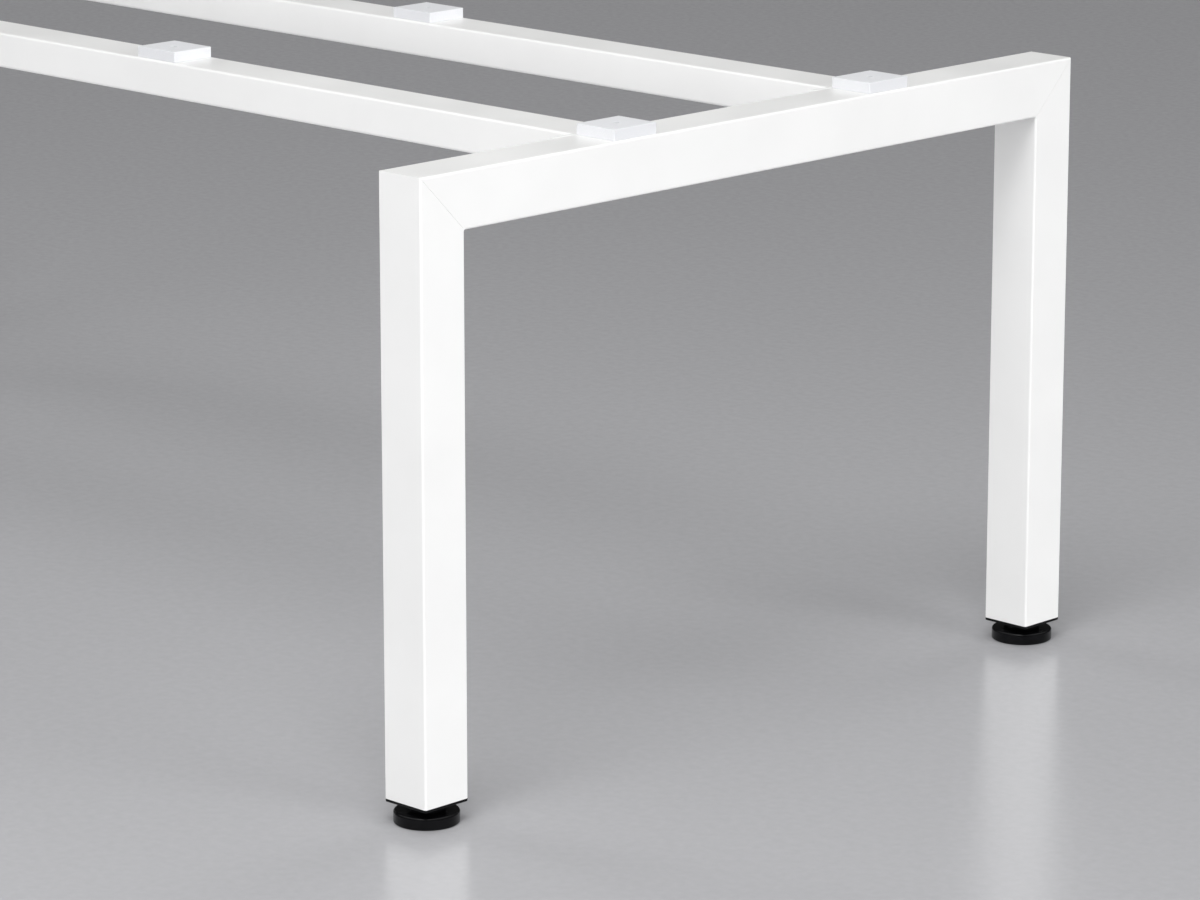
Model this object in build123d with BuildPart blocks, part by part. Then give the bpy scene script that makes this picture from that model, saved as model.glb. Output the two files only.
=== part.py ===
from build123d import *
import os

# A steel desk frame: two mitred portals of square tube, joined by two bolted beams,
# with spacer blocks on top and a screw foot under each leg.
# The floor is Z = 0, X runs along the desk and Y across it, and the origin is midway between the feet.
# All sizes are in millimetres.

# Whole frame: the height is to the faces of the spacer blocks
frame_length = 2190.0
frame_depth = 1000.0
frame_height = 682.0

# Square tube of the portals
tube_size = 60.0
tube_wall = 2.0
tube_radius = 2.5

# Rectangular tube of the beams, and the distance between their centre lines
beam_width = 60.0
beam_height = 40.0
beam_wall = 2.0
beam_radius = 3.0
beam_spread = 390.0

# End plates: the ears stand out on each side of a beam, and the drop hangs below it
plate_thickness = 5.0
plate_ear = 30.0
plate_drop = 12.0
plate_radius = 6.0

# Socket screws, washers and rivet nuts that hold the end plates on the cross tubes
bolt_diameter = 8.0
bolt_length = 20.0
bolt_head_diameter = 13.0
bolt_head_height = 8.0
bolt_head_chamfer = 0.8
bolt_socket_flats = 6.0
bolt_socket_depth = 4.0
bolt_hole_diameter = 9.0
washer_diameter = 16.0
washer_thickness = 1.6
rivet_diameter = 11.0
rivet_length = 16.0
rivet_bulge_diameter = 14.5
rivet_bulge_length = 5.0

# Spacer blocks, moulded hollow from below, each with a spigot for its hole in the tube
spacer_length = 62.0
spacer_height = 12.0
spacer_radius = 1.2
spacer_edge = 0.5
spacer_wall = 3.0
spacer_rib = 2.4
spacer_boss_diameter = 18.0
spigot_diameter = 12.0
screw_hole_diameter = 6.5
access_hole_diameter = 16.0
beam_spacer_spread = 760.0

# Leg plugs: a flange, a skirt with gripping fins, and a ribbed boss that holds the nut
flange_thickness = 3.0
flange_edge = 0.8
skirt_depth = 32.0
skirt_wall = 2.5
skirt_relief = 1.5
fin_count = 4
fin_thickness = 1.5
boss_diameter = 24.0
boss_height = 20.0
plug_rib = 2.5
nut_flats = 16.0
nut_height = 8.0

# Screw feet: a pad, a hexagon collar to turn it by, and a spindle riveted through the pad's hub
foot_travel = 15.0
pad_diameter = 68.0
pad_height = 13.0
pad_rim_radius = 2.5
pad_sole_radius = 1.5
pad_wall = 4.0
pad_web = 4.0
pad_rib = 2.5
pad_rib_count = 8
hub_web = 7.0
hub_wall = 3.5
hex_flats = 36.0
hex_height = 8.0
hex_chamfer = 0.8
spindle_diameter = 10.0
spindle_chamfer = 1.2
spindle_spare = 5.0
spindle_head_diameter = 18.0
spindle_head_height = 4.0

# Clearances, measured on the radius or on each side
thread_clearance = 0.05
pivot_clearance = 0.08
head_clearance = 0.3
play_under_hub = 0.1
plug_hole_clearance = 0.4
nut_clearance = 0.1
spigot_clearance = 0.15
rivet_clearance = 0.1

# Smallest inner corner radius of a tube, however thick its wall
sharpest_corner = 0.3

# Heights, from the floor up
hex_top = pad_height + hex_height
leg_bottom = hex_top + flange_thickness
tube_top = frame_height - spacer_height
cross_middle = tube_top - tube_size / 2
plate_height = beam_height + plate_drop
plate_middle = tube_top - plate_height / 2
nut_bottom = leg_bottom + boss_height - nut_height
nut_top = leg_bottom + boss_height
spindle_head_top = pad_height - hub_web - play_under_hub
spindle_bottom = spindle_head_top - spindle_head_height
spindle_top = nut_top + foot_travel + spindle_spare

# Places and sizes that follow from the ones above
leg_x = frame_length / 2 - tube_size / 2
leg_y = frame_depth / 2 - tube_size / 2
inner_face_x = frame_length / 2 - tube_size
beam_length = 2 * (inner_face_x - plate_thickness)
plate_width = beam_width + 2 * plate_ear
bolt_spread = beam_width + plate_ear
tube_bore = tube_size - 2 * tube_wall
tube_bore_radius = max(tube_radius - tube_wall, sharpest_corner)
beam_bore_radius = max(beam_radius - beam_wall, sharpest_corner)
skirt_size = tube_bore - 2 * skirt_relief
skirt_bore = skirt_size - 2 * skirt_wall
spacer_width = min(tube_size - 2 * tube_radius, beam_width - 2 * beam_radius)
spigot_hole_diameter = spigot_diameter + 2 * spigot_clearance
head_bore_radius = spindle_head_diameter / 2 + head_clearance
hub_radius = head_bore_radius + hub_wall
pad_core_radius = pad_diameter / 2 - pad_wall

# The signs of X at the two ends and of Y at the two sides
ends = {"right": 1, "left": -1}
sides = {"front": -1, "rear": 1}


def corner_plane(end, side, height):
    """Level plane on a leg's axis, with its own X towards the middle of the portal."""
    return Plane(origin=(end * leg_x, side * leg_y, height), x_dir=(0, -side, 0), z_dir=(0, 0, 1))


def mitre_plane(end, side):
    """Plane of a portal's 45 degree joint, through the outer top edge and facing the cross tube."""
    corner = (end * leg_x, side * frame_depth / 2, tube_top)
    return Plane(origin=corner, x_dir=(1, 0, 0), z_dir=(0, -side, 1))


def bolt_planes(distance):
    """Planes on the eight bolt axes, a distance in from the cross tubes, facing the frame's middle."""
    planes = []
    for end in ends.values():
        for side in sides.values():
            for hand in (-1, 1):
                across = side * beam_spread / 2 + hand * bolt_spread / 2
                origin = (end * (inner_face_x - distance), across, plate_middle)
                planes.append(Plane(origin=origin, x_dir=(0, 1, 0), z_dir=(-end, 0, 0)))
    return planes


def save(piece, name):
    """Label a finished piece and write it to its own file."""
    piece.part.label = name
    export_step(piece.part, f"parts/{name}.step")


def make_leg(end, side):
    """Upright of a portal: square tube, mitred at the top."""
    with BuildPart() as leg:
        with BuildSketch(corner_plane(end, side, leg_bottom)):
            RectangleRounded(tube_size, tube_size, tube_radius)
            RectangleRounded(tube_bore, tube_bore, tube_bore_radius, mode=Mode.SUBTRACT)
        extrude(amount=tube_top - leg_bottom)
        split(bisect_by=mitre_plane(end, side), keep=Keep.BOTTOM)
    return leg


def make_cross_tube(end):
    """Top of a portal: square tube, mitred at both ends, drilled for spacers and rivet nuts."""
    start = Plane(origin=(end * leg_x, -frame_depth / 2, cross_middle), x_dir=(1, 0, 0), z_dir=(0, 1, 0))
    spacer_places = [(end * leg_x, side * beam_spread / 2) for side in sides.values()]
    rivet_planes = [plane for plane in bolt_planes(0) if plane.origin.X * end > 0]
    with BuildPart() as cross:
        with BuildSketch(start):
            RectangleRounded(tube_size, tube_size, tube_radius)
            RectangleRounded(tube_bore, tube_bore, tube_bore_radius, mode=Mode.SUBTRACT)
        extrude(amount=frame_depth)
        for side in sides.values():
            split(bisect_by=mitre_plane(end, side), keep=Keep.TOP)
        with Locations(*[(x, y, tube_top) for x, y in spacer_places]):
            Hole(spigot_hole_diameter / 2, depth=tube_size / 2)
        with Locations(*[(x, y, cross_middle) for x, y in spacer_places]):
            Hole(access_hole_diameter / 2, depth=tube_size / 2)
        with Locations(*rivet_planes):
            Hole(rivet_diameter / 2 + rivet_clearance, depth=tube_size / 2)
    return cross


def make_beam(side):
    """Rectangular tube from one end plate to the other, drilled for its two spacers."""
    middle = tube_top - beam_height / 2
    origin = (-beam_length / 2, side * beam_spread / 2, middle)
    start = Plane(origin=origin, x_dir=(0, 1, 0), z_dir=(1, 0, 0))
    spacer_places = [(end * beam_spacer_spread / 2, side * beam_spread / 2) for end in ends.values()]
    with BuildPart() as beam:
        with BuildSketch(start):
            RectangleRounded(beam_width, beam_height, beam_radius)
            RectangleRounded(
                beam_width - 2 * beam_wall,
                beam_height - 2 * beam_wall,
                beam_bore_radius,
                mode=Mode.SUBTRACT,
            )
        extrude(amount=beam_length)
        with Locations(*[(x, y, tube_top) for x, y in spacer_places]):
            Hole(spigot_hole_diameter / 2, depth=beam_height / 2)
        with Locations(*[(x, y, middle) for x, y in spacer_places]):
            Hole(access_hole_diameter / 2, depth=beam_height / 2)
    return beam


def make_end_plate(end, side):
    """Flat plate between a beam's end and the cross tube, with a bolt hole in each ear."""
    origin = (end * inner_face_x, side * beam_spread / 2, plate_middle)
    with BuildPart() as plate:
        with BuildSketch(Plane(origin=origin, x_dir=(0, 1, 0), z_dir=(-end, 0, 0))):
            RectangleRounded(plate_width, plate_height, plate_radius)
            with GridLocations(bolt_spread, 0, 2, 1):
                Circle(bolt_hole_diameter / 2, mode=Mode.SUBTRACT)
        extrude(amount=plate_thickness)
    return plate


def make_bolts():
    """Socket screws, with their heads on the washers."""
    seat = plate_thickness + washer_thickness
    with BuildPart() as bolts:
        with BuildSketch(*bolt_planes(seat)):
            Circle(bolt_head_diameter / 2)
        extrude(amount=bolt_head_height)
        outer_rims = [edge for edge in bolts.edges().filter_by(GeomType.CIRCLE) if is_head_rim(edge)]
        chamfer(outer_rims, bolt_head_chamfer)
        with BuildSketch(*bolt_planes(seat + bolt_head_height)):
            RegularPolygon(bolt_socket_flats / 2, 6, major_radius=False)
        extrude(amount=-bolt_socket_depth, mode=Mode.SUBTRACT)
        with BuildSketch(*bolt_planes(seat)):
            Circle(bolt_diameter / 2)
        extrude(amount=-bolt_length)
    return bolts


def is_head_rim(edge):
    """True for the free rim of a bolt head, the one further from the cross tube."""
    head_middle_x = inner_face_x - plate_thickness - washer_thickness - bolt_head_height / 2
    return abs(edge.center().X) < head_middle_x


def make_washers():
    """Plain washers under the bolt heads."""
    with BuildPart() as washers:
        with BuildSketch(*bolt_planes(plate_thickness)):
            Circle(washer_diameter / 2)
            Circle(bolt_hole_diameter / 2, mode=Mode.SUBTRACT)
        extrude(amount=washer_thickness)
    return washers


def make_rivet_nuts():
    """Flush rivet nuts in the inner walls of the cross tubes, bulged behind the wall."""
    with BuildPart() as rivets:
        with BuildSketch(*bolt_planes(0)):
            Circle(rivet_diameter / 2)
        extrude(amount=-rivet_length)
        with BuildSketch(*bolt_planes(-tube_wall)):
            Circle(rivet_bulge_diameter / 2)
        extrude(amount=-rivet_bulge_length)
        with BuildSketch(*bolt_planes(0)):
            Circle(bolt_diameter / 2 + thread_clearance)
        extrude(amount=-rivet_length, mode=Mode.SUBTRACT)
    return rivets


def make_spacer(x, y, along):
    """Moulded block on a tube's top face: open and ribbed below, with a spigot and a screw hole."""
    seat = Plane(origin=(x, y, tube_top), x_dir=along, z_dir=(0, 0, 1))
    with BuildPart() as spacer:
        with BuildSketch(seat):
            RectangleRounded(spacer_length, spacer_width, spacer_radius)
        extrude(amount=spacer_height)
        chamfer(spacer.edges().filter_by(Axis.Z, reverse=True), spacer_edge)
        with BuildSketch(seat):
            Rectangle(spacer_length - 2 * spacer_wall, spacer_width - 2 * spacer_wall)
            Rectangle(spacer_length, spacer_rib, mode=Mode.SUBTRACT)
            Rectangle(spacer_rib, spacer_width, mode=Mode.SUBTRACT)
            Circle(spacer_boss_diameter / 2, mode=Mode.SUBTRACT)
        extrude(amount=spacer_height - spacer_wall, mode=Mode.SUBTRACT)
        with BuildSketch(seat):
            Circle(spigot_diameter / 2)
        extrude(amount=-tube_wall)
        with Locations(seat.offset(spacer_height)):
            Hole(screw_hole_diameter / 2, depth=spacer_height + tube_wall)
    return spacer


def make_plug(end, side):
    """Leg plug: the flange closes the tube, the fins grip its walls and the boss holds the nut."""
    seat = corner_plane(end, side, leg_bottom)
    fin_pitch = skirt_depth / fin_count
    fin_planes = [seat.offset((fin + 1) * fin_pitch - fin_thickness) for fin in range(fin_count)]
    with BuildPart() as plug:
        with BuildSketch(seat):
            RectangleRounded(tube_size, tube_size, tube_radius)
        extrude(amount=-flange_thickness)
        fillet(plug.edges().group_by(Axis.Z)[0], flange_edge)
        with BuildSketch(seat):
            RectangleRounded(skirt_size, skirt_size, tube_bore_radius)
            Rectangle(skirt_bore, skirt_bore, mode=Mode.SUBTRACT)
        extrude(amount=skirt_depth)
        with BuildSketch(*fin_planes):
            RectangleRounded(tube_bore, tube_bore, tube_bore_radius)
            Rectangle(skirt_bore, skirt_bore, mode=Mode.SUBTRACT)
        extrude(amount=fin_thickness)
        with BuildSketch(seat):
            Circle(boss_diameter / 2)
            Rectangle(skirt_bore, plug_rib)
            Rectangle(plug_rib, skirt_bore)
        extrude(amount=boss_height)
        with BuildSketch(seat.offset(boss_height)):
            RegularPolygon(nut_flats / 2 + nut_clearance, 6, major_radius=False)
        extrude(amount=-nut_height, mode=Mode.SUBTRACT)
        with Locations(seat.offset(boss_height)):
            Hole(spindle_diameter / 2 + plug_hole_clearance, depth=boss_height + flange_thickness)
    return plug


def make_nut(end, side):
    """Hexagon nut in a plug's boss, which the spindle screws through."""
    with BuildPart() as nut:
        with BuildSketch(corner_plane(end, side, nut_bottom)):
            RegularPolygon(nut_flats / 2, 6, major_radius=False)
            Circle(spindle_diameter / 2 + thread_clearance, mode=Mode.SUBTRACT)
        extrude(amount=nut_height)
    return nut


def make_spindle(end, side):
    """Foot spindle: a stud with a flat head under the pad's hub."""
    base = corner_plane(end, side, spindle_bottom)
    with BuildPart() as spindle:
        with BuildSketch(base):
            Circle(spindle_head_diameter / 2)
        extrude(amount=spindle_head_height)
        with BuildSketch(base):
            Circle(spindle_diameter / 2)
        extrude(amount=spindle_top - spindle_bottom)
        chamfer(spindle.edges().group_by(Axis.Z)[-1], spindle_chamfer)
    return spindle


def make_collar(end, side):
    """Hexagon collar, moulded on the spindle between the pad and the plug."""
    with BuildPart() as collar:
        with BuildSketch(corner_plane(end, side, pad_height)):
            RegularPolygon(hex_flats / 2, 6, major_radius=False)
        extrude(amount=hex_height)
        chamfer(collar.edges().filter_by(Axis.Z, reverse=True), hex_chamfer)
        with Locations(corner_plane(end, side, hex_top)):
            Hole(spindle_diameter / 2, depth=hex_height)
    return collar


def make_pad(end, side):
    """Round foot pad: rounded rim, cored and ribbed below, with a hub for the spindle's head."""
    floor = corner_plane(end, side, 0)
    under = Plane(origin=floor.origin, x_dir=(1, 0, 0), z_dir=(0, 0, -1))
    with BuildPart() as pad:
        with BuildSketch(floor):
            Circle(pad_diameter / 2)
        extrude(amount=pad_height)
        fillet(pad.edges().group_by(Axis.Z)[-1], pad_rim_radius)
        fillet(pad.edges().group_by(Axis.Z)[0], pad_sole_radius)
        with BuildSketch(floor):
            Circle(pad_core_radius)
            with PolarLocations(pad_core_radius / 2, pad_rib_count):
                Rectangle(pad_core_radius, pad_rib, mode=Mode.SUBTRACT)
            Circle(hub_radius, mode=Mode.SUBTRACT)
        extrude(amount=pad_height - pad_web, mode=Mode.SUBTRACT)
        with Locations(under):
            CounterBoreHole(
                spindle_diameter / 2 + pivot_clearance,
                head_bore_radius,
                pad_height - hub_web,
                depth=pad_height,
            )
    return pad


os.makedirs("parts", exist_ok=True)

for end_name, end in ends.items():
    save(make_cross_tube(end), f"{end_name}_cross_tube")
    for side_name, side in sides.items():
        corner = f"{end_name}_{side_name}"
        save(make_leg(end, side), f"{corner}_leg")
        save(make_plug(end, side), f"{corner}_leg_plug")
        save(make_nut(end, side), f"{corner}_foot_nut")
        save(make_spindle(end, side), f"{corner}_foot_spindle")
        save(make_collar(end, side), f"{corner}_foot_collar")
        save(make_pad(end, side), f"{corner}_foot_pad")
        save(make_end_plate(end, side), f"{side_name}_beam_{end_name}_plate")
        across = side * beam_spread / 2
        save(make_spacer(end * leg_x, across, (0, 1, 0)), f"{corner}_portal_spacer")
        save(make_spacer(end * beam_spacer_spread / 2, across, (1, 0, 0)), f"{corner}_beam_spacer")

for side_name, side in sides.items():
    save(make_beam(side), f"{side_name}_beam")

save(make_bolts(), "beam_bolts")
save(make_washers(), "beam_washers")
save(make_rivet_nuts(), "beam_rivet_nuts")
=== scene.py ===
import bmesh
import bpy
import numpy as np
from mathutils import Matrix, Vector


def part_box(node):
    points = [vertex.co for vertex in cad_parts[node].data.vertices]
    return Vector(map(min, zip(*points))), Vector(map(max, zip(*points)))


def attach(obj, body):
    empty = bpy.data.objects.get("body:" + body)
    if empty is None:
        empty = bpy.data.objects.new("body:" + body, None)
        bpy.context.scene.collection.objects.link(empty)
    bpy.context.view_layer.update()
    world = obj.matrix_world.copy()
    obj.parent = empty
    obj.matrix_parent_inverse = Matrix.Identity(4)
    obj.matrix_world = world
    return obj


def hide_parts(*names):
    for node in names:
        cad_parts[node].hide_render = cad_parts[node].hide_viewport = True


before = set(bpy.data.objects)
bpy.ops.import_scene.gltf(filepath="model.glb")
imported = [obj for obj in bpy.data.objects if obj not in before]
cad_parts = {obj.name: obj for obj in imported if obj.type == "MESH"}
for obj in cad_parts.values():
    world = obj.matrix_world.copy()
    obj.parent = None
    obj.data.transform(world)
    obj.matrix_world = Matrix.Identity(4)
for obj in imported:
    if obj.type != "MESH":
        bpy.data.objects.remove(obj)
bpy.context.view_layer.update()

# A white steel desk frame on a pale studio floor.
# Lengths are in metres, and MM writes them in millimetres.
MM = 0.001

# The signs of X at the frame's two ends and of Y at its two sides
ENDS = {"right": 1, "left": -1}
SIDES = {"front": -1, "rear": 1}
X, Y, Z = np.eye(3)

# Tubes: wall, outside corner radii, and the rounding that the coat leaves on a sawn edge
TUBE_WALL = 2.0 * MM
TUBE_RADIUS = 2.5 * MM
BEAM_RADIUS = 3.0 * MM
SAWN_EDGE = 0.28 * MM
CORNER_STEPS = 8

# Holes in the tubes: for the spacers' spigots, for a screwdriver from below, and for the rivet nuts
SPIGOT_HOLE = 12.3 * MM
ACCESS_HOLE = 16.0 * MM
RIVET_HOLE = 11.2 * MM
HOLE_COLUMNS = 48

# Length of a drill in thicknesses of the wall that it goes through
DRILL_REACH = 3

# Welds dressed smooth in the inner corners of the mitres
MITRE_WELD = 2.0 * MM

# End plates of the beams, laser cut, and the fillet welds that hold them
PLATE_RADIUS = 6.0 * MM
PLATE_EDGE = 0.6 * MM
BOLT_HOLE = 9.0 * MM
BOLT_SPREAD = 90.0 * MM
WELD_LEG = 4.0 * MM
WELD_RIPPLE = 2.6 * MM
WELD_RIPPLE_DEPTH = 0.09
WELD_CRESCENT = 1.6
WELD_STEPS = 7
WELD_RUN_OUT = 5.0 * MM
WELD_SINK = 0.4 * MM

# Socket screws and washers, from the washer's face
BOLT_RADIUS = 4.0 * MM
BOLT_LENGTH = 20.0 * MM
BOLT_TIP = 0.8 * MM
HEAD_RADIUS = 6.5 * MM
HEAD_HEIGHT = 8.0 * MM
HEAD_EDGE = 0.8 * MM
KNURL_COUNT = 48
KNURL_COLUMNS = 4
KNURL_DEPTH = 0.16 * MM
SOCKET_FLATS = 6.0 * MM
SOCKET_DEPTH = 4.0 * MM
SOCKET_CONE = 0.8 * MM
WASHER_RADIUS = 8.0 * MM
WASHER_THICKNESS = 1.6 * MM
WASHER_EDGE = 0.35 * MM
WASHER_STEPS = 3

# Screw feet: the pad and its underside, the hexagon collar, the spindle and its thread
PAD_RIM = 2.5 * MM
PAD_RIM_STEPS = 8
PAD_SOLE = 1.5 * MM
PAD_SOLE_STEPS = 6
PAD_WALL = 4.0 * MM
PAD_WEB = 4.0 * MM
PAD_RIB = 2.5 * MM
PAD_RIB_COUNT = 8
PAD_BAY_STEPS = 12
PAD_DRAFT = 0.3 * MM
HUB_WEB = 7.0 * MM
HUB_RADIUS = 12.8 * MM
HEAD_BORE = 9.3 * MM
PIVOT_BORE = 5.08 * MM
COLLAR_EDGE = 0.8 * MM
COLLAR_COLUMNS = 96
SPINDLE_COLUMNS = 48
SPINDLE_RADIUS = 5.0 * MM
SPINDLE_HEAD = 4.0 * MM
SPINDLE_HEAD_EDGE = 0.5 * MM
SPINDLE_TIP = 1.2 * MM
THREAD_PITCH = 1.5 * MM
THREAD_DEPTH = 0.92 * MM
THREAD_ROWS = 8
THREAD_SLOPE = 1.3
THREAD_CREST = 0.1

# Values between which a noise texture mostly lies
NOISE_LOW = 0.3
NOISE_HIGH = 0.7

# Edges that bend more than this stay sharp, and points no further apart than this are merged
SHARP_ANGLE = np.radians(40)
MERGE_DISTANCE = 0.002 * MM

# Studio: the floor's half width, and the light that the world gives to dull surfaces
FLOOR_HALF = 60.0
WORLD_LIGHT = 0.30

# What gloss mirrors of the world: dark walls up to a height, as the sine of its angle, and a pale ceiling
WALL_LIGHT = 0.04
WALL_TOP = 0.3
CEILING_LIGHT = 1.6

# Side lights: where each one comes from and how strong it is, and how wide they look
SIDE_LIGHTS = {
    "right_light": ((1.0, 0.1, 0.12), 1.95),
    "front_light": ((0.1, -1.0, 0.12), 1.2),
    "left_light": ((-1.0, -0.1, 0.12), 1.75),
    "rear_light": ((-0.1, 1.0, 0.12), 1.45)}
SIDE_LIGHT_WIDTH = np.radians(30)

# Soft box hung over the floor, beyond the right front corner
BOX_PLACE = (2.8, -2.8, 5.4)
BOX_TARGET = (3.0, -3.0, 0.0)
BOX_SIZE = 3.2
BOX_POWER = 215.0

# Camera: the photograph's place, aim and lens
CAMERA_PLACE = (4.573, -3.805, 1.586)
CAMERA_YAW = np.radians(45.63)
CAMERA_PITCH = np.radians(13.92)
CAMERA_LENS = 150.3


# Outlines and grids

def corners(node):
    """Lowest corner, highest corner and middle of a CAD node."""
    low, high = (np.array(corner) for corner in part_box(node))
    return low, high, (low + high) / 2


def rounded_rectangle(width, height, radius):
    """Closed outline with round corners: each corner's centre plus a quarter turn of its radius."""
    quarter = np.linspace(0, np.pi / 2, CORNER_STEPS + 1)
    turns = np.arange(4)[:, None] * np.pi / 2 + quarter
    signs = np.array([(1, 1), (-1, 1), (-1, -1), (1, -1)])
    centres = signs * (np.array([width, height]) / 2 - radius)
    arcs = radius * np.stack([np.cos(turns), np.sin(turns)], -1)
    return (centres[:, None] + arcs).reshape(-1, 2)


def hexagon(flats, angles):
    """Radius of a hexagon at each angle: half the width across its flats, over the cosine of the angle
    from a flat's middle."""
    return flats / 2 / np.cos(angles % (np.pi / 3) - np.pi / 6)


def full_turn(columns):
    """Angles of a ring's points, evenly spaced once round."""
    return np.linspace(0, 2 * np.pi, columns, endpoint=False)


def around(radii, heights, angles):
    """Points of a turned form: the radius along each angle's direction, and the height up the axis."""
    radii, heights, angles = np.broadcast_arrays(radii, heights, angles)
    return np.stack([radii * np.cos(angles), radii * np.sin(angles), heights], -1)


def lathe(profile, columns):
    """A profile of (radius, height) pairs turned once round the axis."""
    radii, heights = np.array(profile).T[:, :, None]
    return around(radii, heights, full_turn(columns))


def arc(centre, radius, start, end, steps):
    """Points of a circle's arc in a profile, between two angles in degrees."""
    turns = np.radians(np.linspace(start, end, steps + 1))
    return np.array(centre) + radius * np.stack([np.cos(turns), np.sin(turns)], -1)


def mesh_of(name, rings, closed):
    """Mesh of the quads between neighbouring rings of a grid, last to first as well if it is closed.
    The grid is rings by columns, or copies by rings by columns, and each ring goes round to its start."""
    grid = rings.reshape(-1, *rings.shape[-3:])
    index = np.arange(grid[..., 0].size).reshape(grid.shape[:3])
    if closed:
        index = np.concatenate([index, index[:, :1]], axis=1)
    near, far = index[:, :-1], index[:, 1:]
    quads = np.stack([near, np.roll(near, -1, 2), np.roll(far, -1, 2), far], -1)
    mesh = bpy.data.meshes.new(name)
    mesh.from_pydata(grid.reshape(-1, 3), [], quads.reshape(-1, 4))
    form = bmesh.new()
    form.from_mesh(mesh)
    bmesh.ops.remove_doubles(form, verts=form.verts, dist=MERGE_DISTANCE)
    bmesh.ops.recalc_face_normals(form, faces=form.faces)
    form.to_mesh(mesh)
    form.free()
    return mesh


def drill(mesh, centres, axis, diameter, depth):
    """Cut round holes of a depth, half of it on each side of each centre, out of a mesh."""
    half = depth / 2
    radius = diameter / 2
    side, over = np.roll(axis, 1), np.roll(axis, 2)
    pin = lathe([(0, -half), (radius, -half), (radius, half), (0, half)], HOLE_COLUMNS)
    pins = np.array(centres)[:, None, None] + pin @ np.stack([side, over, axis])
    cutter = bpy.data.objects.new("drill", mesh_of("drill", pins, closed=False))
    work = bpy.data.objects.new("work", mesh)
    for helper in (cutter, work):
        bpy.context.scene.collection.objects.link(helper)
    cut = work.modifiers.new("holes", "BOOLEAN")
    cut.operation = "DIFFERENCE"
    cut.solver = "EXACT"
    cut.object = cutter
    graph = bpy.context.evaluated_depsgraph_get()
    drilled = bpy.data.meshes.new_from_object(work.evaluated_get(graph))
    for helper in (cutter, work):
        bpy.data.objects.remove(helper)
    return drilled


def add_piece(name, mesh, material, body, slot, *nodes):
    """Finished piece: smooth but for its sharp edges, on its body, in place of CAD nodes. The slot is not
    used.
    """
    mesh.name = name
    mesh.shade_smooth()
    mesh.set_sharp_from_angle(angle=SHARP_ANGLE)
    mesh.materials.clear()
    mesh.materials.append(material)
    piece = bpy.data.objects.new(name, mesh)
    bpy.context.scene.collection.objects.link(piece)
    flats = piece.modifiers.new("flat faces stay flat", "WEIGHTED_NORMAL")
    flats.keep_sharp = True
    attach(piece, body)
    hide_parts(*nodes)


# Materials

def colour(code):
    """Linear colour of an sRGB hex code."""
    levels = np.array([int(code[place:place + 2], 16) for place in (0, 2, 4)]) / 255
    linear = np.where(levels <= 0.04045, levels / 12.92, ((levels + 0.055) / 1.055) ** 2.4)
    return (*linear, 1.0)


def per_feature(size):
    """Scale of a texture whose features are about this wide."""
    return 1.0 / size


def add_node(tree, kind, inputs=None, **settings):
    """Add a node: each input takes a value, or a link from another node's output."""
    node = tree.nodes.new(kind)
    for name, value in settings.items():
        setattr(node, name, value)
    for name, value in (inputs or {}).items():
        if isinstance(value, bpy.types.NodeSocket):
            tree.links.new(value, node.inputs[name])
        else:
            node.inputs[name].default_value = value
    return node


def new_material(name):
    """Empty material with its node tree and the place of each point on the object."""
    material = bpy.data.materials.new(name)
    material.use_nodes = True
    material.node_tree.nodes.clear()
    place = add_node(material.node_tree, "ShaderNodeTexCoord").outputs["Object"]
    return material, material.node_tree, place


def set_ramp(ramp, *stops):
    """Give a ramp its stops, each a place from 0 to 1 and a colour."""
    elements = ramp.color_ramp.elements
    while len(elements) < len(stops):
        elements.new(1.0)
    for element, (position, shade) in zip(elements, stops):
        element.position = position
        element.color = shade
    return ramp.outputs["Color"]


def powder_coat():
    """Polyester powder coat, baked on steel: white, satin, with a faint orange peel."""
    material, tree, place = new_material("polyester_powder_coat_white")
    # Orange peel is 1 to 2 mm wide and some microns high, drawn at 4 mm so that it shows as a soft ripple
    peel = add_node(tree, "ShaderNodeTexNoise", {
        "Vector": place, "Scale": per_feature(4.0 * MM), "Detail": 1.5, "Roughness": 0.5})
    bump = add_node(tree, "ShaderNodeBump", {
        "Height": peel.outputs["Fac"], "Strength": 0.25, "Distance": 0.25 * MM})
    # The coat's thickness drifts over a hand's width, which shifts its white by a shade
    drift = add_node(tree, "ShaderNodeTexNoise", {
        "Vector": place, "Scale": per_feature(90.0 * MM), "Detail": 2.0})
    white = set_ramp(
        add_node(tree, "ShaderNodeValToRGB", {"Fac": drift.outputs["Fac"]}),
        (NOISE_LOW, colour("F3F3F2")), (NOISE_HIGH, colour("F6F6F5")))
    gloss = add_node(tree, "ShaderNodeMapRange", {
        "Value": drift.outputs["Fac"], "From Min": NOISE_LOW, "From Max": NOISE_HIGH,
        "To Min": 0.36, "To Max": 0.44})
    shader = add_node(tree, "ShaderNodeBsdfPrincipled", {
        "Base Color": white, "Roughness": gloss.outputs["Result"], "IOR": 1.5,
        "Normal": bump.outputs["Normal"]})
    add_node(tree, "ShaderNodeOutputMaterial", {"Surface": shader.outputs["BSDF"]})
    return material


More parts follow.
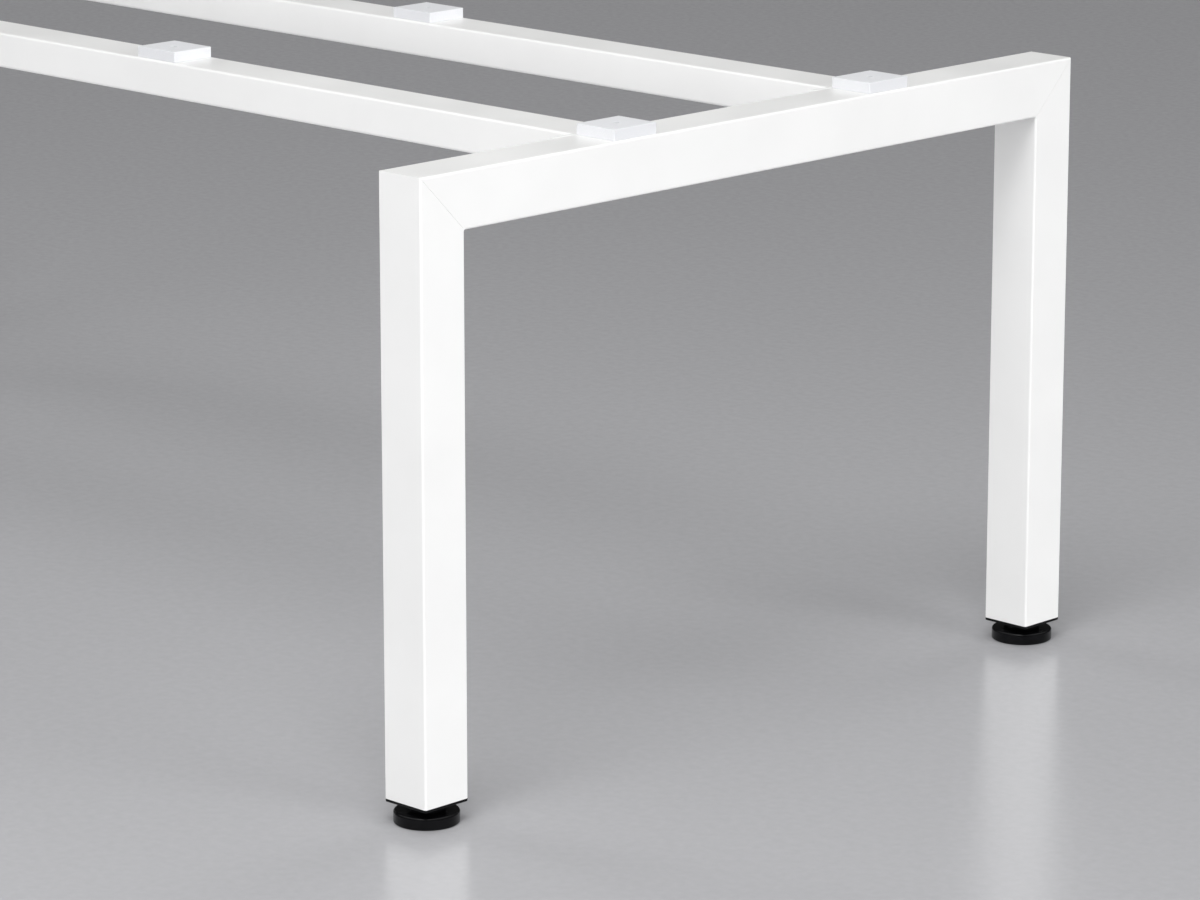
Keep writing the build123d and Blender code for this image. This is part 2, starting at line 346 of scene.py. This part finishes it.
def moulded_abs():
    """White ABS from a spark-eroded mould: a close matt grain, a little colder than the coat."""
    material, tree, place = new_material("moulded_abs_white")
    # The mould's grain is about 0.1 mm, drawn at 0.8 mm so that it shows
    grain = add_node(tree, "ShaderNodeTexNoise", {
        "Vector": place, "Scale": per_feature(0.8 * MM), "Detail": 2.0, "Roughness": 0.6})
    bump = add_node(tree, "ShaderNodeBump", {
        "Height": grain.outputs["Fac"], "Strength": 0.2, "Distance": 0.05 * MM})
    white = set_ramp(
        add_node(tree, "ShaderNodeValToRGB", {"Fac": grain.outputs["Fac"]}),
        (0.35, colour("E4E5E8")), (0.65, colour("E9EAED")))
    shader = add_node(tree, "ShaderNodeBsdfPrincipled", {
        "Base Color": white, "Roughness": 0.5, "IOR": 1.54, "Normal": bump.outputs["Normal"]})
    add_node(tree, "ShaderNodeOutputMaterial", {"Surface": shader.outputs["BSDF"]})
    return material


def moulded_polyamide():
    """Black polyamide with a moulded satin skin: nearly no colour, and a soft grey sheen on its edges."""
    material, tree, place = new_material("moulded_polyamide_black")
    # The mould's grain is about 0.15 mm, drawn at 0.7 mm so that it shows
    grain = add_node(tree, "ShaderNodeTexNoise", {
        "Vector": place, "Scale": per_feature(0.7 * MM), "Detail": 3.0, "Roughness": 0.6})
    bump = add_node(tree, "ShaderNodeBump", {
        "Height": grain.outputs["Fac"], "Strength": 0.25, "Distance": 0.06 * MM})
    # The plastic flows in from the middle and leaves broad, slightly duller patches
    flow = add_node(tree, "ShaderNodeTexNoise", {
        "Vector": place, "Scale": per_feature(14.0 * MM), "Detail": 2.0})
    black = set_ramp(
        add_node(tree, "ShaderNodeValToRGB", {"Fac": flow.outputs["Fac"]}),
        (NOISE_LOW, colour("060607")), (NOISE_HIGH, colour("0D0D0F")))
    gloss = add_node(tree, "ShaderNodeMapRange", {
        "Value": flow.outputs["Fac"], "From Min": NOISE_LOW, "From Max": NOISE_HIGH,
        "To Min": 0.14, "To Max": 0.21})
    shader = add_node(tree, "ShaderNodeBsdfPrincipled", {
        "Base Color": black, "Roughness": gloss.outputs["Result"], "IOR": 1.53,
        "Specular IOR Level": 0.15, "Normal": bump.outputs["Normal"]})
    add_node(tree, "ShaderNodeOutputMaterial", {"Surface": shader.outputs["BSDF"]})
    return material


def zinc_plate():
    """Steel, electroplated with zinc and passivated: grey metal with a cold, cloudy gloss."""
    material, tree, place = new_material("zinc_plated_steel_passivated")
    cloud = add_node(tree, "ShaderNodeTexNoise", {
        "Vector": place, "Scale": per_feature(3.0 * MM), "Detail": 3.0, "Roughness": 0.6})
    metal = set_ramp(
        add_node(tree, "ShaderNodeValToRGB", {"Fac": cloud.outputs["Fac"]}),
        (NOISE_LOW, colour("AEB2B8")), (NOISE_HIGH, colour("C9CBCE")))
    gloss = add_node(tree, "ShaderNodeMapRange", {
        "Value": cloud.outputs["Fac"], "From Min": NOISE_LOW, "From Max": NOISE_HIGH,
        "To Min": 0.26, "To Max": 0.40})
    # The steel under the plating is uneven at some 0.2 mm, drawn at 0.4 mm so that it breaks up the gloss
    grain = add_node(tree, "ShaderNodeTexNoise", {
        "Vector": place, "Scale": per_feature(0.4 * MM), "Detail": 1.0})
    bump = add_node(tree, "ShaderNodeBump", {
        "Height": grain.outputs["Fac"], "Strength": 0.1, "Distance": 0.03 * MM})
    shader = add_node(tree, "ShaderNodeBsdfPrincipled", {
        "Base Color": metal, "Metallic": 1.0, "Roughness": gloss.outputs["Result"],
        "Normal": bump.outputs["Normal"]})
    add_node(tree, "ShaderNodeOutputMaterial", {"Surface": shader.outputs["BSDF"]})
    return material


def sealed_screed():
    """Studio floor of sealed grey screed: pale, faintly clouded, with a dim blurred reflection."""
    material, tree, place = new_material("sealed_screed_grey")
    cloud = add_node(tree, "ShaderNodeTexNoise", {
        "Vector": place, "Scale": per_feature(12.0 * MM), "Detail": 3.0, "Roughness": 0.6})
    grey = set_ramp(
        add_node(tree, "ShaderNodeValToRGB", {"Fac": cloud.outputs["Fac"]}),
        (NOISE_LOW, colour("C0C0C3")), (NOISE_HIGH, colour("C4C4C7")))
    gloss = add_node(tree, "ShaderNodeMapRange", {
        "Value": cloud.outputs["Fac"], "From Min": NOISE_LOW, "From Max": NOISE_HIGH,
        "To Min": 0.21, "To Max": 0.26})
    shader = add_node(tree, "ShaderNodeBsdfPrincipled", {
        "Base Color": grey, "Roughness": gloss.outputs["Result"], "IOR": 1.5})
    add_node(tree, "ShaderNodeOutputMaterial", {"Surface": shader.outputs["BSDF"]})
    return material


# Tubes, plates and welds

def slide(outline, centre, axes, plane):
    """Outline set round a straight axis, each point slid along the axis until it meets a plane."""
    across, up, along = axes
    point, normal = plane
    places = centre + outline[:, :1] * across + outline[:, 1:] * up
    reach = (point - places) @ normal / (along @ normal)
    return places + reach[:, None] * along


def sawn_tube(size, radius, centre, axes, planes):
    """Rings of a tube between two cuts: bore, sawn face, rounded edge and outside, then the same back."""
    width, height = size
    bore = rounded_rectangle(width - 2 * TUBE_WALL, height - 2 * TUBE_WALL, radius - TUBE_WALL)
    face = rounded_rectangle(width - 2 * SAWN_EDGE, height - 2 * SAWN_EDGE, radius - SAWN_EDGE)
    skin = rounded_rectangle(width, height, radius)
    first, last = [
        [slide(bore, centre, axes, plane), slide(face, centre, axes, plane),
         slide(skin, centre, axes, plane) + inward * SAWN_EDGE * axes[2]]
        for plane, inward in zip(planes, (1, -1))]
    return np.stack(first + last[::-1])


def mitre(cross_node, side):
    """Plane of a portal's 45 degree joint: through the outer top edge, facing up and inwards."""
    low, high, middle = corners(cross_node)
    outer = high[1] if side > 0 else low[1]
    return np.array([middle[0], outer, high[2]]), Z - side * Y


def leg_tube(end, side):
    """Upright of a portal, square below and mitred above."""
    low, high, middle = corners(f"{end}_{side}_leg")
    size = high[0] - low[0]
    cuts = [(low, Z), mitre(f"{end}_cross_tube", SIDES[side])]
    return mesh_of("leg", sawn_tube((size, size), TUBE_RADIUS, middle, (X, Y, Z), cuts), closed=True)


def spacer_places(*nodes):
    """Middles of spacers, at the top face of the tubes that they stand on.
    The tubes' top faces are level with the legs' top ends."""
    face = corners("right_front_leg")[1][2]
    return [np.array([*corners(node)[2][:2], face]) for node in nodes]


def drill_for_spacers(mesh, places, height):
    """Spigot holes in a tube's top wall, and access holes for the screws in its bottom wall."""
    depth = DRILL_REACH * TUBE_WALL
    mesh = drill(mesh, places, Z, SPIGOT_HOLE, depth)
    return drill(mesh, [place - height * Z for place in places], Z, ACCESS_HOLE, depth)


def bolt_places(end):
    """Bolt axes at one end of the frame, on the cross tube's inner face."""
    places = []
    for side in SIDES:
        low, high, middle = corners(f"{side}_beam_{end}_plate")
        face = max(low[0], high[0], key=abs)
        for hand in (-1, 1):
            places.append(np.array([face, middle[1] + hand * BOLT_SPREAD / 2, middle[2]]))
    return places


def cross_tube(end):
    """Top of a portal, mitred at both ends, with holes for its spacers and rivet nuts."""
    node = f"{end}_cross_tube"
    low, high, middle = corners(node)
    size = high[0] - low[0]
    cuts = [mitre(node, side) for side in SIDES.values()]
    mesh = mesh_of("cross", sawn_tube((size, size), TUBE_RADIUS, middle, (X, Z, Y), cuts), closed=True)
    places = spacer_places(*[f"{end}_{side}_portal_spacer" for side in SIDES])
    mesh = drill_for_spacers(mesh, places, size)
    return drill(mesh, bolt_places(end), X, RIVET_HOLE, DRILL_REACH * TUBE_WALL)


def beam_tube(side):
    """Rectangular tube between two end plates, with holes for its spacers."""
    low, high, middle = corners(f"{side}_beam")
    size = high - low
    rings = sawn_tube(size[1:], BEAM_RADIUS, middle, (Y, Z, X), [(low, X), (high, X)])
    places = spacer_places(*[f"{end}_{side}_beam_spacer" for end in ENDS])
    return drill_for_spacers(mesh_of("beam", rings, closed=True), places, size[2])


def mitre_weld(end, side):
    """Fillet weld in a portal's inner corner, dressed smooth.
    The path runs under the tubes from one outside face to the other, and dips with their round edges.
    The section is an arc about a centre that stays put, so its radius grows by the dip, and it is closed
    inside the metal."""
    low, high, middle = corners(f"{end}_{side}_leg")
    size = high[0] - low[0]
    under = corners(f"{end}_cross_tube")[0][2]
    inner = low[1] if SIDES[side] > 0 else high[1]
    path = rounded_rectangle(size, size, TUBE_RADIUS)[:2 * (CORNER_STEPS + 1)]
    across, dip = path[:, :1], size / 2 - path[:, 1:]
    turn = np.linspace(np.pi, 1.5 * np.pi, WELD_STEPS + 1)
    radius = MITRE_WELD + dip
    sink = -dip - WELD_SINK * (1 - dip / TUBE_RADIUS)
    edge = np.full_like(dip, MITRE_WELD)
    out = np.concatenate([MITRE_WELD + radius * np.cos(turn), edge, sink, sink], axis=1)
    down = np.concatenate([MITRE_WELD + radius * np.sin(turn), sink, sink, edge], axis=1)
    width = np.broadcast_to(middle[0] + across, out.shape)
    rings = np.stack([width, inner - SIDES[side] * out, under - down], -1)
    first, last = [np.repeat(ring[-2:-1], len(ring), axis=0) for ring in rings[[0, -1]]]
    return mesh_of("weld", np.stack([first, *rings, last]), closed=False)


def end_plate(node):
    """Flat plate with round corners and eased edges, drilled for two bolts."""
    low, high, middle = corners(node)
    size = high - low
    face = rounded_rectangle(size[1] - 2 * PLATE_EDGE, size[2] - 2 * PLATE_EDGE, PLATE_RADIUS - PLATE_EDGE)
    skin = rounded_rectangle(size[1], size[2], PLATE_RADIUS)
    point = np.zeros_like(face)
    levels = [(point, low[0]), (face, low[0]), (skin, low[0] + PLATE_EDGE),
              (skin, high[0] - PLATE_EDGE), (face, high[0]), (point, high[0])]
    rings = np.stack([
        slide(outline, middle, (Y, Z, X), (np.array([level, 0, 0]), X)) for outline, level in levels])
    holes = [middle + hand * BOLT_SPREAD / 2 * Y for hand in (-1, 1)]
    return drill(mesh_of("plate", rings, closed=False), holes, X, BOLT_HOLE, DRILL_REACH * size[0])


def weld_bead(side, end):
    """Fillet weld down one side of a beam's end, under it and up the other side.
    The path is the beam's outline without its top. At each point the section is a quarter circle from
    the plate to the beam, closed inside the metal, and its radius swells along the path in crescent
    ripples and runs out at both ends."""
    low, high, middle = corners(f"{side}_beam")
    sign = ENDS[end]
    seam = high[0] if sign > 0 else low[0]
    outline = rounded_rectangle(*(high - low)[1:], BEAM_RADIUS)
    half = 2 * (CORNER_STEPS + 1)
    bends = np.roll(outline, 1 - half, axis=0)[:half + 2]
    reach = np.concatenate([[0], np.cumsum(np.linalg.norm(np.diff(bends, axis=0), axis=1))])
    along = np.linspace(0, reach[-1], int(reach[-1] / WELD_RIPPLE * WELD_STEPS))
    path = np.stack([np.interp(along, reach, bends[:, axis]) for axis in (0, 1)], -1)
    tangent = np.gradient(path, along, axis=0)
    outward = np.stack([tangent[:, 1], -tangent[:, 0]], -1)
    outward /= np.linalg.norm(outward, axis=1, keepdims=True)
    turn = np.linspace(0, np.pi / 2, WELD_STEPS + 1)
    ripple = np.cos(2 * np.pi * along[:, None] / WELD_RIPPLE - WELD_CRESCENT * np.sin(2 * turn))
    run_out = np.sqrt(np.clip(np.minimum(along, along[-1] - along) / WELD_RUN_OUT, 0, 1))[:, None]
    radius = WELD_LEG * run_out * (1 + WELD_RIPPLE_DEPTH * ripple * np.sin(2 * turn))
    leg, sink = WELD_LEG * run_out, -WELD_SINK * run_out
    out = np.concatenate([radius * np.cos(turn), sink, sink, leg], axis=1)
    back = np.concatenate([radius * np.sin(turn), leg, sink, sink], axis=1)
    across = middle[1] + path[:, :1] + out * outward[:, :1]
    height = middle[2] + path[:, 1:] + out * outward[:, 1:]
    return mesh_of("weld", np.stack([seam - sign * back, across, height], -1), closed=False)


# Bolts and washers

def at_bolts(rings):
    """Copies of a form on all bolt axes: its height runs from a cross tube towards the frame's middle."""
    copies = []
    for end, sign in ENDS.items():
        turned = rings @ np.stack([Y, -sign * Z, -sign * X])
        copies += [place + turned for place in bolt_places(end)]
    return np.stack(copies)


def socket_screws(seat):
    """Knurled socket screws.
    The radius is a circle's, less fine flutes down the head, and a hexagon's in the socket."""
    angles = full_turn(KNURL_COLUMNS * KNURL_COUNT)
    flutes = KNURL_DEPTH * (0.5 + 0.5 * np.cos(KNURL_COUNT * angles))
    hexagon_wall = hexagon(SOCKET_FLATS, angles)
    top = HEAD_HEIGHT
    band = KNURL_DEPTH + HEAD_EDGE
    rows = [
        (0, -BOLT_LENGTH), (BOLT_RADIUS - BOLT_TIP, -BOLT_LENGTH), (BOLT_RADIUS, BOLT_TIP - BOLT_LENGTH),
        (BOLT_RADIUS, 0), (HEAD_RADIUS - 2 * KNURL_DEPTH, 0), (HEAD_RADIUS - KNURL_DEPTH, KNURL_DEPTH),
        (HEAD_RADIUS - flutes, 2 * KNURL_DEPTH), (HEAD_RADIUS - flutes, top - band),
        (HEAD_RADIUS - KNURL_DEPTH, top - band + KNURL_DEPTH), (HEAD_RADIUS - HEAD_EDGE, top),
        (hexagon_wall + KNURL_DEPTH, top), (hexagon_wall, top - KNURL_DEPTH),
        (hexagon_wall, top - SOCKET_DEPTH), (0, top - SOCKET_DEPTH - SOCKET_CONE)]
    rings = np.stack([around(radius, seat + height, angles) for radius, height in rows])
    return mesh_of("bolts", at_bolts(rings), closed=False)


def washers(seat):
    """Pressed washers, with the rounded edges that the punch leaves."""
    edge = WASHER_EDGE
    inner, outer = BOLT_HOLE / 2 + edge, WASHER_RADIUS - edge
    under, over = edge, WASHER_THICKNESS - edge
    profile = np.concatenate([
        arc((outer, under), edge, -90, 0, WASHER_STEPS),
        arc((outer, over), edge, 0, 90, WASHER_STEPS),
        arc((inner, over), edge, 90, 180, WASHER_STEPS),
        arc((inner, under), edge, 180, 270, WASHER_STEPS)])
    return mesh_of("washers", at_bolts(lathe(profile + [0, seat], HOLE_COLUMNS)), closed=True)


# Screw feet

def underside(node):
    """Middle of a CAD node's underside."""
    low, high = corners(node)[:2]
    return np.array([*(low + high)[:2] / 2, low[2]])


def foot_pad(node):
    """Round pad: a closed profile from the bore over the rim and back under the sole, turned round.
    The angles crowd at the ribs, whose sides are parallel: between ribs the underside rises to the web,
    and along a rib it stays down at the sole."""
    low, high = corners(node)[:2]
    rim = (high[0] - low[0]) / 2
    top = high[2] - low[2]
    core, hub_end = rim - PAD_WALL, top - HUB_WEB
    ceiling = top - PAD_WEB
    outside = np.concatenate([
        [(PIVOT_BORE, hub_end), (PIVOT_BORE, top)],
        arc((rim - PAD_RIM, top - PAD_RIM), PAD_RIM, 90, 0, PAD_RIM_STEPS),
        arc((rim - PAD_SOLE, PAD_SOLE), PAD_SOLE, 0, -90, PAD_SOLE_STEPS)])
    radii = np.array([*outside[:, 0], core, core - PAD_DRAFT, HUB_RADIUS + PAD_DRAFT, HUB_RADIUS,
                      HEAD_BORE, HEAD_BORE])
    between = np.array([*outside[:, 1], 0, ceiling, ceiling, 0, 0, hub_end])
    on_rib = np.array([*outside[:, 1], 0, 0, 0, 0, 0, hub_end])
    pitch = 2 * np.pi / PAD_RIB_COUNT
    edge = np.arcsin(PAD_RIB / 2 / radii)[:, None]
    foot = np.arcsin((PAD_RIB / 2 + PAD_DRAFT) / radii)[:, None]
    bay = foot + (pitch - 2 * foot) * np.linspace(0, 1, PAD_BAY_STEPS + 1)
    sector = np.concatenate([-edge, edge, bay], axis=1)
    ribbed = np.array([True, True] + [False] * bay.shape[1])
    heights = np.where(ribbed, on_rib[:, None], between[:, None])
    turns = np.arange(PAD_RIB_COUNT) * pitch
    angles = (sector[:, None] + turns[:, None]).reshape(len(radii), -1)
    rings = around(radii[:, None], np.tile(heights, PAD_RIB_COUNT), angles)
    return mesh_of("pad", rings + underside(node), closed=True)


def foot_collar(node):
    """Hexagon collar with eased edges, round its bore."""
    low, high = corners(node)[:2]
    angles = full_turn(COLLAR_COLUMNS)
    flats, height = high[0] - low[0], high[2] - low[2]
    corner_radius = hexagon(flats, 0.0) - COLLAR_EDGE / 2
    wall = np.minimum(hexagon(flats, angles), corner_radius)
    face = np.minimum(hexagon(flats - 2 * COLLAR_EDGE, angles), corner_radius - COLLAR_EDGE)
    rows = [(SPINDLE_RADIUS, 0), (face, 0), (wall, COLLAR_EDGE), (wall, height - COLLAR_EDGE),
            (face, height), (SPINDLE_RADIUS, height)]
    rings = np.stack([around(radius, level, angles + np.pi / 2) for radius, level in rows])
    return mesh_of("collar", rings + underside(node), closed=True)


def foot_spindle(node, collar_node):
    """Stud with a flat head and a rolled thread above the collar.
    The thread's radius falls below the stud's by a triangle wave of height over pitch less the part of a
    turn. The wave is steeper than its range and clipped to it, which leaves flat crests and roots, and it
    fades in from the collar."""
    low, high = corners(node)[:2]
    angles = full_turn(SPINDLE_COLUMNS)
    head = (high[0] - low[0]) / 2
    length = high[2] - low[2]
    start = corners(collar_node)[1][2] - low[2] - THREAD_PITCH
    row = THREAD_PITCH / THREAD_ROWS
    levels = np.arange(start, length - SPINDLE_TIP, row)[:, None]
    phase = (levels / THREAD_PITCH - angles / (2 * np.pi)) % 1
    fade = np.clip((levels - start) / THREAD_PITCH, 0, 1)
    wave = np.clip(THREAD_SLOPE * np.abs(2 * phase - 1) - THREAD_CREST, 0, 1)
    thread = SPINDLE_RADIUS - THREAD_DEPTH * fade * wave
    core = SPINDLE_RADIUS - SPINDLE_TIP
    edge = SPINDLE_HEAD_EDGE
    rows = [(0, 0), (head - edge, 0), (head, edge), (head, SPINDLE_HEAD - edge),
            (head - edge, SPINDLE_HEAD), (SPINDLE_RADIUS, SPINDLE_HEAD), (SPINDLE_RADIUS, start - row)]
    below = np.stack([around(radius, level, angles) for radius, level in rows])
    above = np.stack([around(radius, level, angles) for radius, level in ((core, length), (0, length))])
    rings = np.concatenate([below, around(thread, levels, angles), above])
    return mesh_of("spindle", rings + underside(node), closed=False)


# The frame, piece by piece

coat = powder_coat()
abs_white = moulded_abs()
polyamide = moulded_polyamide()
zinc = zinc_plate()

for end in ENDS:
    cross = f"{end}_cross_tube"
    add_piece(f"coated_{cross}", cross_tube(end), coat, "frame", "white_powder_coat", cross)
    for side in SIDES:
        corner = f"{end}_{side}"
        leg = f"{corner}_leg"
        add_piece(f"coated_{leg}", leg_tube(end, side), coat, "frame", "white_powder_coat", leg)
        weld = f"{corner}_mitre_weld"
        add_piece(f"coated_{weld}", mitre_weld(end, side), coat, "frame", "white_powder_coat")
        plate = f"{side}_beam_{end}_plate"
        add_piece(f"coated_{plate}", end_plate(plate), coat, "frame", "white_powder_coat", plate)
        weld = f"{side}_beam_{end}_weld"
        add_piece(f"coated_{weld}", weld_bead(side, end), coat, "frame", "white_powder_coat")
        pad = f"{corner}_foot_pad"
        add_piece(f"moulded_{pad}", foot_pad(pad), polyamide, f"{corner}_pad", "black_plastic", pad)
        screw = f"{corner}_screw"
        collar = f"{corner}_foot_collar"
        add_piece(f"moulded_{collar}", foot_collar(collar), polyamide, screw, "black_plastic", collar)
        spindle = f"{corner}_foot_spindle"
        stud = foot_spindle(spindle, collar)
        add_piece(f"threaded_{spindle}", stud, zinc, screw, "zinc_plated_steel", spindle)

for side in SIDES:
    beam = f"{side}_beam"
    add_piece(f"coated_{beam}", beam_tube(side), coat, "frame", "white_powder_coat", beam)

plate_low, plate_high = corners("front_beam_right_plate")[:2]
washer_seat = plate_high[0] - plate_low[0]
bolt_seat = washer_seat + WASHER_THICKNESS
add_piece("pressed_beam_washers", washers(washer_seat), zinc, "frame", "zinc_plated_steel", "beam_washers")
add_piece("knurled_beam_bolts", socket_screws(bolt_seat), zinc, "frame", "zinc_plated_steel", "beam_bolts")

# CAD pieces that keep their own form
kept = {"_portal_spacer": abs_white, "_beam_spacer": abs_white, "_leg_plug": polyamide,
        "_foot_nut": zinc, "_rivet_nuts": zinc}
for name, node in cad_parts.items():
    for ending, material in kept.items():
        if name.endswith(ending):
            node.data.materials.clear()
            node.data.materials.append(material)


# Studio: floor, lamps, world and camera

def add_floor():
    """Square of floor about the origin, wide enough that its edge never shows."""
    mesh = bpy.data.meshes.new("studio_floor")
    square = FLOOR_HALF * np.array([(-1, -1, 0), (1, -1, 0), (1, 1, 0), (-1, 1, 0)])
    mesh.from_pydata(square, [], [(0, 1, 2, 3)])
    mesh.materials.append(sealed_screed())
    floor = bpy.data.objects.new("studio_floor", mesh)
    bpy.context.scene.collection.objects.link(floor)


def add_lamp(name, light, place, target):
    """Lamp at a place, facing a target, which the camera doesn't see."""
    lamp = bpy.data.objects.new(name, light)
    lamp.location = place
    lamp.rotation_euler = (Vector(target) - Vector(place)).to_track_quat("-Z", "Y").to_euler()
    lamp.visible_camera = False
    bpy.context.scene.collection.objects.link(lamp)
    return lamp


def add_side_light(name, direction, strength):
    """Broad light from far off on one side, which gloss doesn't mirror."""
    light = bpy.data.lights.new(name, "SUN")
    light.energy = strength
    light.angle = SIDE_LIGHT_WIDTH
    lamp = add_lamp(name, light, direction, (0, 0, 0))
    lamp.visible_glossy = False


def add_soft_box():
    """Square lamp hung over the floor."""
    light = bpy.data.lights.new("overhead_soft_box", "AREA")
    light.size = BOX_SIZE
    light.energy = BOX_POWER
    add_lamp("overhead_soft_box", light, BOX_PLACE, BOX_TARGET)


def add_camera():
    """Camera at the photograph's place, aimed by its yaw and pitch."""
    data = bpy.data.cameras.new("camera")
    data.lens = CAMERA_LENS
    camera = bpy.data.objects.new("camera", data)
    aim = Vector((
        -np.cos(CAMERA_YAW) * np.cos(CAMERA_PITCH), np.sin(CAMERA_YAW) * np.cos(CAMERA_PITCH),
        -np.sin(CAMERA_PITCH)))
    camera.location = CAMERA_PLACE
    camera.rotation_euler = aim.to_track_quat("-Z", "Y").to_euler()
    bpy.context.scene.collection.objects.link(camera)
    bpy.context.scene.camera = camera


def set_world():
    """Even grey light from all round, of which gloss mirrors a room: dark walls under a pale ceiling.
    The room brightens smoothly from the walls' top to straight overhead."""
    world = bpy.data.worlds.new("studio_world")
    world.use_nodes = True
    tree = world.node_tree
    tree.nodes.clear()
    direction = add_node(tree, "ShaderNodeTexCoord").outputs["Generated"]
    height = add_node(tree, "ShaderNodeSeparateXYZ", {"Vector": direction}).outputs["Z"]
    room = add_node(tree, "ShaderNodeMapRange", {
        "Value": height, "From Min": WALL_TOP, "From Max": 1.0,
        "To Min": WALL_LIGHT, "To Max": CEILING_LIGHT}, interpolation_type="SMOOTHSTEP")
    mirrored = add_node(tree, "ShaderNodeLightPath").outputs["Is Glossy Ray"]
    light = add_node(tree, "ShaderNodeMapRange", {
        "Value": mirrored, "To Min": WORLD_LIGHT, "To Max": room.outputs["Result"]})
    sky = add_node(tree, "ShaderNodeBackground", {
        "Color": colour("FFFFFF"), "Strength": light.outputs["Result"]})
    add_node(tree, "ShaderNodeOutputWorld", {"Surface": sky.outputs["Background"]})
    bpy.context.scene.world = world


add_floor()
set_world()
for name, (direction, strength) in SIDE_LIGHTS.items():
    add_side_light(name, direction, strength)
add_soft_box()
add_camera()
bpy.context.scene.view_settings.view_transform = "Standard"
